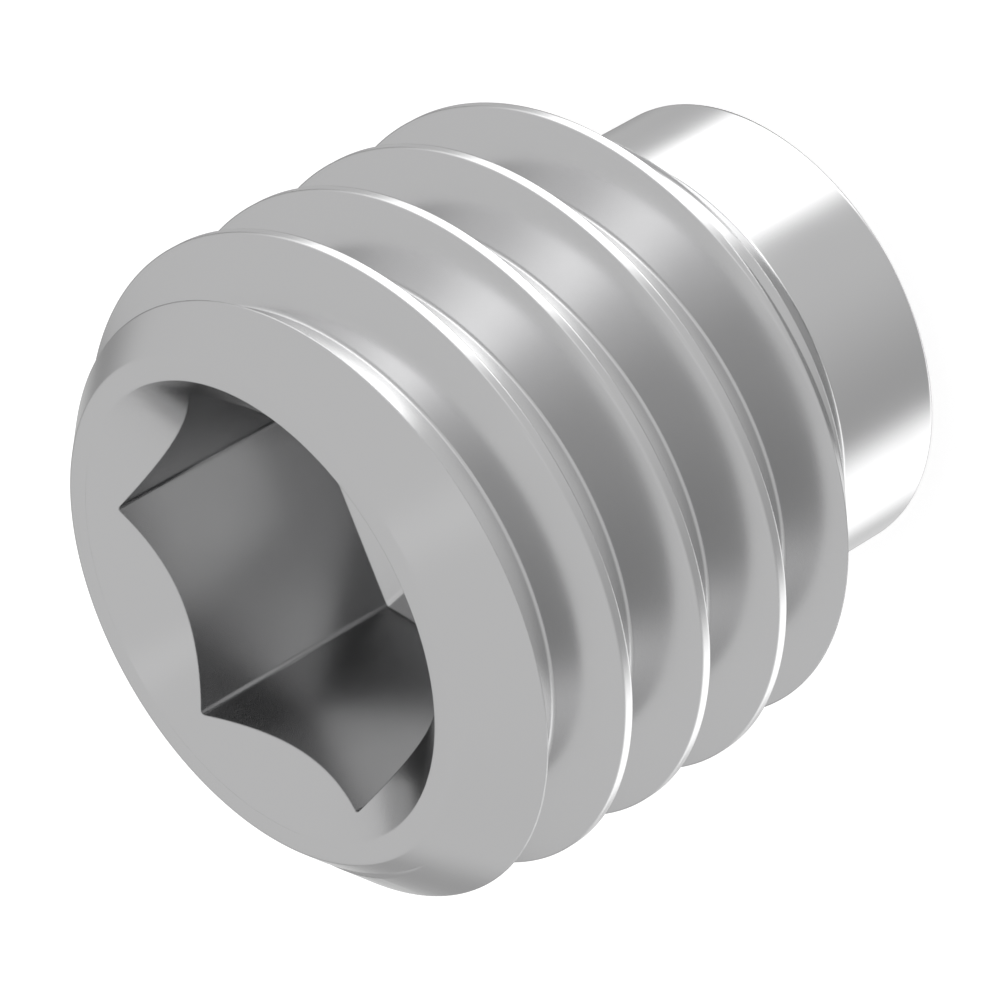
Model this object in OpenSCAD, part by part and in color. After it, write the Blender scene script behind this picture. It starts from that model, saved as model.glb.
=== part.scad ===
// Dog point set screw: a headless threaded body with a hexagon socket in one end
// and a plain round nose, the dog point, on the other. One solid piece of metal.
// It stands on the tip of the dog point, socket up; the axis of the screw is Z
// and the height zero is the flat of the tip. Sizes are in millimetres.

/* [Body] */
// length of the screw over all
screw_len = 9.87; // [9.5:0.01:10.3]
// outside diameter of the flat ring round the socket mouth
face_d = 7.6; // [7.4:0.05:8]
// slope of the bevel at the socket end, measured from the axis
face_bevel_deg = 43; // [35:1:50]

/* [Thread] */
// diameter over the thread crests
thread_d = 9.88; // [9.7:0.01:10]
// rise of the thread in one turn
thread_pitch = 1.5; // [1.4:0.05:1.6]
// height of the thread from root to crest
thread_depth = 0.86; // [0.78:0.02:0.92]
// width of the flat on the thread crest
crest_w = 0.16; // [0.11:0.01:0.2]
// height over the tip at which a thread crest crosses the +X side
crest_z = 1.67; // [1.4:0.01:2.9]

/* [Dog point] */
// diameter of the dog point
dog_d = 6.96; // [6.6:0.02:7.2]
// length of the plain cylinder of the dog point
dog_len = 1.9; // [1.6:0.1:2.4]
// width of the small bevel on the rim of the tip
tip_bevel = 0.05; // [0.05:0.01:0.3]

/* [Socket] */
// hexagon size across the flats
socket_af = 5.48; // [5:0.02:5.6]
// depth of the straight socket walls below the end face
socket_depth = 3.93; // [3.2:0.01:4.2]
// diameter of the round countersink in the end face
sink_d = 6.95; // [6.8:0.05:7.2]

/* [Hidden] */

steel = [0.62, 0.63, 0.65];

// segments in one full turn
turn_steps = 72;
$fn = turn_steps;

// angle between a thread flank and the plane across the axis
flank_deg = 30;
// how far the ridge and the socket tool reach past the surfaces they meet
overlap = 0.06;
// how far cutting bodies stand clear of the screw
clearance = 0.4;
// slope of the run-out cone at the dog point, measured from the axis
dog_bevel_deg = 45;
// slope of the countersink, measured from the axis
sink_deg = 45;
// slope of the facets at the socket bottom, measured from the axis
bottom_deg = 45;

thread_r = thread_d / 2;
root_r = thread_r - thread_depth;
blank_r = thread_r + clearance;
dog_r = dog_d / 2;
face_r = face_d / 2;
sink_r = sink_d / 2;
hex_r = socket_af / 2 / cos(30);

// ridge of the thread, measured where it dips into the core
ridge_r = root_r - overlap;
ridge_half = crest_w / 2 + (thread_r - ridge_r) * tan(flank_deg);
ridge_low = dog_len + (ridge_r - dog_r) / tan(dog_bevel_deg) - ridge_half - overlap;
ridge_high = screw_len - (ridge_r - face_r) / tan(face_bevel_deg) + ridge_half + overlap;
ridge_steps = ceil((ridge_high - ridge_low) / thread_pitch * turn_steps);
ridge_profile = [
    [ridge_r, -ridge_half],
    [thread_r, -crest_w / 2],
    [thread_r, crest_w / 2],
    [ridge_r, ridge_half],
];
ridge_corners = len(ridge_profile);

function ridge_ring(step) =
    let (turn = 360 * step / turn_steps)
    let (height = ridge_low + thread_pitch * step / turn_steps)
    [for (corner = ridge_profile)
        [corner[0] * cos(turn), corner[0] * sin(turn), height + corner[1]]];

function ring_point(step, side) = step * ridge_corners + side % ridge_corners;

// the helical ridge, longer than the thread at both ends
module thread_ridge() {
    points = [for (step = [0 : ridge_steps]) each ridge_ring(step)];
    near_sides = [for (step = [0 : ridge_steps - 1], side = [0 : ridge_corners - 1])
        [ring_point(step, side), ring_point(step, side + 1), ring_point(step + 1, side + 1)]];
    far_sides = [for (step = [0 : ridge_steps - 1], side = [0 : ridge_corners - 1])
        [ring_point(step, side), ring_point(step + 1, side + 1), ring_point(step + 1, side)]];
    start_cap = [3, 2, 1, 0];
    end_cap = [for (side = [0 : ridge_corners - 1]) ring_point(ridge_steps, side)];
    polyhedron(points, concat(near_sides, far_sides, [start_cap, end_cap]));
}

// round core at the thread root with the ridge wound on it
module threaded_bar() {
    translate([0, 0, -clearance])
        cylinder(h = screw_len + 2 * clearance, r = root_r);
    rotate([0, 0, 360 * (ridge_low - crest_z) / thread_pitch])
        thread_ridge();
}

// turned outline that both ends are cut to: tip, dog point, run-out cone and end bevel
module turned_blank() {
    rotate_extrude()
        polygon([
            [0, 0],
            [dog_r - tip_bevel, 0],
            [dog_r, tip_bevel],
            [dog_r, dog_len],
            [blank_r, dog_len + (blank_r - dog_r) / tan(dog_bevel_deg)],
            [blank_r, screw_len - (blank_r - face_r) / tan(face_bevel_deg)],
            [face_r, screw_len],
            [0, screw_len],
        ]);
}

// hexagon socket with its faceted bottom and the round countersink at its mouth
module socket_cut() {
    floor_z = screw_len - socket_depth;
    bottom_h = socket_af / 2 / tan(bottom_deg);
    sink_h = (sink_r - socket_af / 2) / tan(sink_deg) + clearance;
    translate([0, 0, floor_z])
        cylinder(h = socket_depth + clearance, r = hex_r, $fn = 6);
    translate([0, 0, floor_z - bottom_h])
        cylinder(h = bottom_h, r1 = 0, r2 = hex_r, $fn = 6);
    translate([0, 0, screw_len - sink_h])
        cylinder(
            h = sink_h + clearance,
            r1 = sink_r - sink_h * tan(sink_deg),
            r2 = sink_r + clearance * tan(sink_deg)
        );
}

module set_screw() {
    color(steel)
        difference() {
            intersection() {
                threaded_bar();
                turned_blank();
            }
            socket_cut();
        }
}

set_screw();
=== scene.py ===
"""Dog point set screw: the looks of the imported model, on a pale floor in soft studio light.

The screw is one piece of steel. Its visual mesh repeats the sizes of the part's source, in
millimetres, with the small rounded edges of the real screw and a finer thread helix.
"""

import math

import bmesh
import bpy
from mathutils import Matrix, Vector

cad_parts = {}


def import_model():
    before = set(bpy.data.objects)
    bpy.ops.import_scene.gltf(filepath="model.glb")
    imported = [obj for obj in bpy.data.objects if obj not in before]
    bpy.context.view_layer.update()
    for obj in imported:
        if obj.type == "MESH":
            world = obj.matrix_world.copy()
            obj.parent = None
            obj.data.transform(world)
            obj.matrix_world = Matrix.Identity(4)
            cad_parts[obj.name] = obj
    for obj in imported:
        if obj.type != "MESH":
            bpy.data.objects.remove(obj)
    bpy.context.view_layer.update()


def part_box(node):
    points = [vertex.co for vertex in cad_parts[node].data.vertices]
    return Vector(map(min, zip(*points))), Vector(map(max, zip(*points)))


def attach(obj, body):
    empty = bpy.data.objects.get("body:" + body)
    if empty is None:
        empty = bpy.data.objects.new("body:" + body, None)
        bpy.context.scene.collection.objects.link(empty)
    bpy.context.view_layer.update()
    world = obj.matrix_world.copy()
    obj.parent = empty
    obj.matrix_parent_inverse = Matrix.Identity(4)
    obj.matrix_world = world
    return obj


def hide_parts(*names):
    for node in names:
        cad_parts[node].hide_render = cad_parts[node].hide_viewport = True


MM = 0.001

# Sizes of the screw in millimetres, as in the part's source
FACE_D = 7.6
FACE_BEVEL_DEG = 43
THREAD_PITCH = 1.5
THREAD_DEPTH = 0.86
CREST_W = 0.16
CREST_Z = 1.67
FLANK_DEG = 30
DOG_D = 6.96
DOG_LEN = 1.9
DOG_BEVEL_DEG = 45
SOCKET_AF = 5.48
SOCKET_DEPTH = 3.93
SOCKET_BOTTOM_DEG = 45
SINK_D = 6.95
SINK_DEG = 45

# Radii of the rounded edges in millimetres. FINE_EDGE is the one that only the material shows.
CREST_ROUND = 0.05
ROOT_ROUND = 0.06
FACE_ROUND = 0.12
TIP_ROUND = 0.1
NECK_ROUND = 0.1
SOCKET_ROUND = 0.1
FINE_EDGE = 0.035

# Fineness of the mesh
TURN_STEPS = 240
ARC_STEPS = 5
SHARP_DEG = 24

# How far cutting shapes stand past the screw, in millimetres
CLEARANCE = 0.8

# Camera: where it looks, from which side, and how it is rolled
CAMERA_AIM = Vector((0.0625, -0.3909, 5.2704))
CAMERA_SIDE_DEG = 45.062
CAMERA_RISE_DEG = 34.742
CAMERA_ROLL_DEG = 120.123
CAMERA_DISTANCE = 95.798
LENS_PER_WIDTH = 6.8344
SENSOR_WIDTH = 36

# Floor: half its width in millimetres, its own colour, and what it adds for the camera alone
FLOOR_HALF = 400
FLOOR_WHITE = 0.8
FLOOR_GLOW = 0.56

# Steel: its colour, the tint of its rim, its range of roughness and the height of its grain
STEEL = (0.56, 0.56, 0.563, 1)
STEEL_RIM = (0.8, 0.8, 0.8, 1)
ROUGHNESS = (0.18, 0.22)
CLOUDS_PER_MM = 0.9
GRAIN_PER_MM = 25
GRAIN_HEIGHT = 0.01
GRAIN_STRENGTH = 0.02

# The studio that the steel reflects: its level, and its soft panels. Each is (turn from the
# camera, half width, blur of the sides, rise of the middle, half height, blur of the top and
# foot, change of the level), with the angles in degrees.
STUDIO_LEVEL = 0.814
STUDIO_PANELS = [
    (-72, 33, 13, -55, 38, 22, 2.4),
    (-40, 26, 16, -16, 10, 10, 0.65),
    (-98, 18, 10, -4, 9, 8, 0.3),
    (110, 26, 13, -55, 44, 18, 1.4),
    (150, 18, 12, -55, 22, 12, 0.2),
    (168, 14, 8, -30, 8, 6, 0.2),
    (66, 36, 34, -55, 55, 34, -0.25),
    (180, 38, 8, -10, 9, 8, -0.27),
    (-135, 20, 12, -20, 8, 6, -0.5),
    (-174, 16, 12, -42, 14, 8, -0.33),
    (-146, 19, 10, -53, 10, 7, -0.55),
    (150, 20, 12, -58, 9, 7, -0.35),
    (5, 10, 8, 55, 30, 8, 0.08),
]


def rounded(corners, radii):
    """The open line through 2-D corners, with each corner turned into an arc of its radius."""
    line = [corners[0]]
    for before, corner, after, radius in zip(corners, corners[1:], corners[2:], radii):
        corner = Vector(corner)
        into = (Vector(before) - corner).normalized()
        out = (Vector(after) - corner).normalized()
        half_angle = into.angle(out) / 2
        if radius == 0:
            line.append(tuple(corner))
            continue
        centre = corner + (into + out).normalized() * (radius / math.sin(half_angle))
        start = corner + into * (radius / math.tan(half_angle)) - centre
        sweep = math.pi - 2 * half_angle
        side = 1 if into.y * out.x - into.x * out.y > 0 else -1
        for step in range(ARC_STEPS + 1):
            turn = side * sweep * step / ARC_STEPS
            x = start.x * math.cos(turn) - start.y * math.sin(turn)
            y = start.x * math.sin(turn) + start.y * math.cos(turn)
            line.append((centre.x + x, centre.y + y))
    line.append(corners[-1])
    return line


def mesh_object(name, vertices, faces):
    """A new object in the scene, with its faces turned outwards."""
    mesh = bpy.data.meshes.new(name)
    mesh.from_pydata(vertices, [], faces)
    work = bmesh.new()
    work.from_mesh(mesh)
    bmesh.ops.recalc_face_normals(work, faces=work.faces)
    work.to_mesh(mesh)
    work.free()
    piece = bpy.data.objects.new(name, mesh)
    bpy.context.scene.collection.objects.link(piece)
    return piece


def at_turn(radius, turn, height):
    """The point at a radius, a turn about the screw's axis and a height."""
    return (radius * math.cos(turn), radius * math.sin(turn), height)


def turned(name, outline):
    """A closed solid of revolution. The outline, (radius, height), starts and ends on the axis."""
    rings = outline[1:-1]
    count = len(rings)
    vertices = [
        at_turn(radius, 2 * math.pi * step / TURN_STEPS, height)
        for step in range(TURN_STEPS)
        for radius, height in rings
    ]
    low, high = len(vertices), len(vertices) + 1
    vertices += [(0, 0, outline[0][1]), (0, 0, outline[-1][1])]
    faces = []
    for step in range(TURN_STEPS):
        here, there = step * count, (step + 1) % TURN_STEPS * count
        faces += [
            (here + i, there + i, there + i + 1, here + i + 1) for i in range(count - 1)
        ]
        faces.append((low, there, here))
        faces.append((high, here + count - 1, there + count - 1))
    return mesh_object(name, vertices, faces)


def thread_profile(crest_r):
    """One pitch of the thread, (radius, height over the crest's middle), with rounded edges."""
    root_r = crest_r - THREAD_DEPTH
    crest = CREST_W / 2
    foot = crest + THREAD_DEPTH * math.tan(math.radians(FLANK_DEG))
    corners = [
        (root_r, -THREAD_PITCH / 2),
        (root_r, -foot),
        (crest_r, -crest),
        (crest_r, crest),
        (root_r, foot),
        (root_r, THREAD_PITCH / 2),
    ]
    return rounded(corners, [ROOT_ROUND, CREST_ROUND, CREST_ROUND, ROOT_ROUND])


def threaded_bar(crest_r, length):
    """The threaded bar as one helical sheet, longer than the screw and closed at both ends."""
    profile = thread_profile(crest_r)
    columns = len(profile) - 1
    turns_below = math.ceil((CREST_Z + 2 * THREAD_PITCH) / THREAD_PITCH)
    turns = turns_below + math.ceil((length - CREST_Z + 2 * THREAD_PITCH) / THREAD_PITCH)
    rows = turns * TURN_STEPS
    first_z = CREST_Z - turns_below * THREAD_PITCH

    def point(row, column):
        radius, offset = profile[column]
        turn = 2 * math.pi * row / TURN_STEPS
        return at_turn(radius, turn, first_z + THREAD_PITCH * row / TURN_STEPS + offset)

    def index(row, column):
        if column == columns:
            row, column = row + TURN_STEPS, 0
        if row <= rows:
            return row * columns + column
        return (rows + 1) * columns + row - rows - 1

    vertices = [point(row, column) for row in range(rows + 1) for column in range(columns)]
    vertices += [point(row, 0) for row in range(rows + 1, rows + TURN_STEPS + 1)]
    faces = [
        (index(i, j), index(i, j + 1), index(i + 1, j + 1), index(i + 1, j))
        for i in range(rows)
        for j in range(columns)
    ]
    for start, height in ((0, first_z), (rows, first_z + THREAD_PITCH * turns)):
        rim = [index(start + step, 0) for step in range(TURN_STEPS + 1)]
        rim += [index(start, column) for column in range(columns - 1, -1, -1)]
        centre = len(vertices)
        vertices.append((0, 0, height))
        faces += [(centre, a, b) for a, b in zip(rim, rim[1:])]
    return mesh_object("threaded_bar", vertices, faces)


def turned_blank(crest_r, length):
    """The outline that both ends are turned to, with rounded edges."""
    dog_r, face_r = DOG_D / 2, FACE_D / 2
    blank_r = crest_r + CLEARANCE
    corners = [
        (0, 0),
        (dog_r, 0),
        (dog_r, DOG_LEN),
        (blank_r, DOG_LEN + (blank_r - dog_r) / math.tan(math.radians(DOG_BEVEL_DEG))),
        (blank_r, length - (blank_r - face_r) / math.tan(math.radians(FACE_BEVEL_DEG))),
        (face_r, length),
        (0, length),
    ]
    return turned("turned_blank", rounded(corners, [TIP_ROUND, NECK_ROUND, 0, 0, FACE_ROUND]))


def hexagon():
    """Points of the socket's hexagon, with its corners rounded and the first corner on +X."""
    middle = (SOCKET_AF / 2 - SOCKET_ROUND) / math.cos(math.radians(30))
    points = []
    for corner in range(6):
        aim = math.radians(60 * corner)
        for step in range(ARC_STEPS + 1):
            turn = aim + math.radians(60) * (step / ARC_STEPS - 0.5)
            x = middle * math.cos(aim) + SOCKET_ROUND * math.cos(turn)
            y = middle * math.sin(aim) + SOCKET_ROUND * math.sin(turn)
            points.append((x, y))
    return points


def socket_tool(length):
    """The hexagon hole with its faceted bottom."""
    floor_z = length - SOCKET_DEPTH
    bottom_h = SOCKET_AF / 2 / math.tan(math.radians(SOCKET_BOTTOM_DEG))
    ring = hexagon()
    count = len(ring)
    vertices = [(x, y, z) for z in (floor_z, length + CLEARANCE) for x, y in ring]
    vertices.append((0, 0, floor_z - bottom_h))
    tip = len(vertices) - 1
    faces = [tuple(range(count, 2 * count))]
    for i in range(count):
        after = (i + 1) % count
        faces.append((i, after, count + after, count + i))
        faces.append((tip, after, i))
    return mesh_object("socket_tool", vertices, faces)


def sink_tool(length):
    """The round countersink at the socket's mouth."""
    slope = math.tan(math.radians(SINK_DEG))
    sink_r = SINK_D / 2
    outline = [
        (0, length - sink_r / slope),
        (sink_r + CLEARANCE * slope, length + CLEARANCE),
        (0, length + CLEARANCE),
    ]
    return turned("sink_tool", outline)


def apply_modifiers(piece):
    """The piece's mesh becomes what its modifiers make of it."""
    graph = bpy.context.evaluated_depsgraph_get()
    made = bpy.data.meshes.new_from_object(piece.evaluated_get(graph))
    piece.modifiers.clear()
    piece.data = made


def combine(piece, tool, operation):
    """The piece's mesh becomes the result of one boolean operation, and the tool goes."""
    modifier = piece.modifiers.new(operation.lower(), "BOOLEAN")
    modifier.object = tool
    modifier.operation = operation
    modifier.solver = "MANIFOLD"
    apply_modifiers(piece)
    bpy.data.objects.remove(tool)


def shade(piece):
    """Smooth shading that stays flat on the broad faces. It works on the mesh in millimetres."""
    piece.data.shade_smooth()
    piece.data.set_sharp_from_angle(angle=math.radians(SHARP_DEG))
    weighted = piece.modifiers.new("weighted_normals", "WEIGHTED_NORMAL")
    weighted.mode = "FACE_AREA"
    weighted.keep_sharp = True
    apply_modifiers(piece)


def build_screw():
    """The whole screw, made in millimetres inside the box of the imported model."""
    low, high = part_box("set_screw")
    crest_r = min(-low.x, high.x, -low.y, high.y) / MM
    length = (high.z - low.z) / MM
    screw = threaded_bar(crest_r, length)
    combine(screw, turned_blank(crest_r, length), "INTERSECT")
    combine(screw, socket_tool(length), "DIFFERENCE")
    combine(screw, sink_tool(length), "DIFFERENCE")
    shade(screw)
    screw.name = "steel_screw"
    screw.data.name = "steel_screw"
    screw.data.transform(Matrix.Scale(MM, 4))
    return screw


def new_material(name):
    """A new material with an empty node tree."""
    material = bpy.data.materials.new(name)
    material.use_nodes = True
    material.node_tree.nodes.clear()
    return material, material.node_tree.nodes, material.node_tree.links


def add_noise(nodes, links, place, per_mm, detail):
    """Noise in the object's own space, with its scale given for each millimetre."""
    noise = nodes.new("ShaderNodeTexNoise")
    noise.inputs["Scale"].default_value = per_mm / MM
    noise.inputs["Detail"].default_value = detail
    links.new(place, noise.inputs["Vector"])
    return noise.outputs["Fac"]


def steel_material():
    """Smooth bright stainless steel with faint grain and softly rounded fine edges."""
    material, nodes, links = new_material("stainless_steel")
    output = nodes.new("ShaderNodeOutputMaterial")
    shader = nodes.new("ShaderNodeBsdfPrincipled")
    shader.inputs["Metallic"].default_value = 1
    shader.inputs["Base Color"].default_value = STEEL
    shader.inputs["Specular Tint"].default_value = STEEL_RIM
    links.new(shader.outputs[0], output.inputs["Surface"])

    place = nodes.new("ShaderNodeTexCoord").outputs["Object"]
    clouds = add_noise(nodes, links, place, CLOUDS_PER_MM, detail=2)
    rough = nodes.new("ShaderNodeMapRange")
    rough.inputs["From Min"].default_value = 0.3
    rough.inputs["From Max"].default_value = 0.7
    rough.inputs["To Min"].default_value = ROUGHNESS[0]
    rough.inputs["To Max"].default_value = ROUGHNESS[1]
    links.new(clouds, rough.inputs["Value"])
    links.new(rough.outputs["Result"], shader.inputs["Roughness"])

    edges = nodes.new("ShaderNodeBevel")
    edges.samples = 4
    edges.inputs["Radius"].default_value = FINE_EDGE * MM
    grain = add_noise(nodes, links, place, GRAIN_PER_MM, detail=3)
    bump = nodes.new("ShaderNodeBump")
    bump.inputs["Strength"].default_value = GRAIN_STRENGTH
    bump.inputs["Distance"].default_value = GRAIN_HEIGHT * MM
    links.new(grain, bump.inputs["Height"])
    links.new(edges.outputs["Normal"], bump.inputs["Normal"])
    links.new(bump.outputs["Normal"], shader.inputs["Normal"])
    return material


def floor_material():
    """Plain white floor that keeps the screw's soft shadow."""
    material, nodes, links = new_material("white_floor")
    output = nodes.new("ShaderNodeOutputMaterial")
    diffuse = nodes.new("ShaderNodeBsdfDiffuse")
    diffuse.inputs["Color"].default_value = (FLOOR_WHITE, FLOOR_WHITE, FLOOR_WHITE, 1)
    glow = nodes.new("ShaderNodeEmission")
    glow.inputs["Color"].default_value = (1, 1, 1, 1)
    path = nodes.new("ShaderNodeLightPath")
    level = nodes.new("ShaderNodeMath")
    level.operation = "MULTIPLY"
    level.inputs[1].default_value = FLOOR_GLOW
    links.new(path.outputs["Is Camera Ray"], level.inputs[0])
    links.new(level.outputs[0], glow.inputs["Strength"])
    both = nodes.new("ShaderNodeAddShader")
    links.new(diffuse.outputs[0], both.inputs[0])
    links.new(glow.outputs[0], both.inputs[1])
    links.new(both.outputs[0], output.inputs["Surface"])
    return material


def build_floor():
    """The floor under the screw. The steel reflects the studio's lower half in its place."""
    half = FLOOR_HALF * MM
    corners = [(-half, -half, 0), (half, -half, 0), (half, half, 0), (-half, half, 0)]
    floor = mesh_object("floor", corners, [(0, 1, 2, 3)])
    floor.data.materials.append(floor_material())
    floor.visible_glossy = False


def towards(turn_deg, rise_deg):
    """Direction at a turn about the vertical, from the camera's side, and a rise over the floor."""
    turn, rise = math.radians(CAMERA_SIDE_DEG - turn_deg), math.radians(rise_deg)
    return Vector((math.cos(turn) * math.cos(rise), math.sin(turn) * math.cos(rise), math.sin(rise)))


def add_math(nodes, links, operation, first, second=0):
    """The result of one number node. Each operand is a number or another node's output."""
    step = nodes.new("ShaderNodeMath")
    step.operation = operation
    for socket, value in zip(step.inputs, (first, second)):
        if isinstance(value, (int, float)):
            socket.default_value = value
        else:
            links.new(value, socket)
    return step.outputs[0]


def add_vector_math(nodes, links, operation, source, vector=None):
    """One vector node on a source, with a fixed second vector where the operation has one."""
    step = nodes.new("ShaderNodeVectorMath")
    step.operation = operation
    links.new(source, step.inputs[0])
    if vector is not None:
        step.inputs[1].default_value = vector
    return step


def add_window(nodes, links, angle, half_deg, blur_deg, inside):
    """The value inside while the angle is under half_deg, and softly none beyond it."""
    ramp = nodes.new("ShaderNodeMapRange")
    ramp.interpolation_type = "SMOOTHSTEP"
    ramp.inputs["From Min"].default_value = math.radians(half_deg - blur_deg)
    ramp.inputs["From Max"].default_value = math.radians(half_deg + blur_deg)
    ramp.inputs["To Min"].default_value = inside
    ramp.inputs["To Max"].default_value = 0
    links.new(angle, ramp.inputs["Value"])
    return ramp.outputs["Result"]


def studio_strength(nodes, links):
    """The studio's light from each direction: its level, changed by every panel in turn."""
    place = nodes.new("ShaderNodeTexCoord").outputs["Generated"]
    split = nodes.new("ShaderNodeSeparateXYZ")
    links.new(place, split.inputs[0])
    rise = add_math(nodes, links, "ARCSINE", split.outputs["Z"])
    level = add_vector_math(nodes, links, "MULTIPLY", place, (1, 1, 0)).outputs["Vector"]
    around = add_vector_math(nodes, links, "NORMALIZE", level).outputs["Vector"]
    total = STUDIO_LEVEL
    for turn, half_width, side_blur, middle, half_height, top_blur, change in STUDIO_PANELS:
        facing = add_vector_math(nodes, links, "DOT_PRODUCT", around, towards(turn, 0))
        aside = add_math(nodes, links, "ARCCOSINE", facing.outputs["Value"])
        above = add_math(nodes, links, "SUBTRACT", rise, math.radians(middle))
        above = add_math(nodes, links, "ABSOLUTE", above)
        width = add_window(nodes, links, aside, half_width, side_blur, change)
        height = add_window(nodes, links, above, half_height, top_blur, 1)
        panel = add_math(nodes, links, "MULTIPLY", width, height)
        total = add_math(nodes, links, "ADD", panel, total)
    return total


def build_world():
    """A pale soft studio with brighter and darker panels. The camera sees plain white instead."""
    world = bpy.data.worlds.new("studio")
    bpy.context.scene.world = world
    world.use_nodes = True
    nodes, links = world.node_tree.nodes, world.node_tree.links
    nodes.clear()
    studio = nodes.new("ShaderNodeBackground")
    links.new(studio_strength(nodes, links), studio.inputs["Strength"])
    white = nodes.new("ShaderNodeBackground")
    path = nodes.new("ShaderNodeLightPath")
    seen = nodes.new("ShaderNodeMixShader")
    output = nodes.new("ShaderNodeOutputWorld")
    for background in (studio, white):
        background.inputs["Color"].default_value = (1, 1, 1, 1)
    links.new(path.outputs["Is Camera Ray"], seen.inputs["Fac"])
    links.new(studio.outputs[0], seen.inputs[1])
    links.new(white.outputs[0], seen.inputs[2])
    links.new(seen.outputs[0], output.inputs["Surface"])


def build_camera():
    """The photograph's camera: its place, roll and long lens."""
    data = bpy.data.cameras.new("camera")
    data.sensor_width = SENSOR_WIDTH
    data.lens = LENS_PER_WIDTH * SENSOR_WIDTH
    data.clip_start, data.clip_end = 0.01, 10
    camera = bpy.data.objects.new("camera", data)
    bpy.context.scene.collection.objects.link(camera)
    bpy.context.scene.camera = camera
    back = towards(0, CAMERA_RISE_DEG)
    upright = (Vector((0, 0, 1)) - back * back.z).normalized()
    right = upright.cross(back)
    roll = math.radians(CAMERA_ROLL_DEG)
    up = upright * math.cos(roll) + right * math.sin(roll)
    side = up.cross(back)
    turn = Matrix((side, up, back)).transposed()
    place = (CAMERA_AIM + back * CAMERA_DISTANCE) * MM
    camera.matrix_world = Matrix.Translation(place) @ turn.to_4x4()


def main():
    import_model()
    bpy.context.scene.view_settings.view_transform = "Standard"
    build_camera()
    build_world()
    build_floor()
    screw = build_screw()
    screw.data.materials.clear()
    screw.data.materials.append(steel_material())
    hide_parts("set_screw")
    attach(screw, "root")


main()
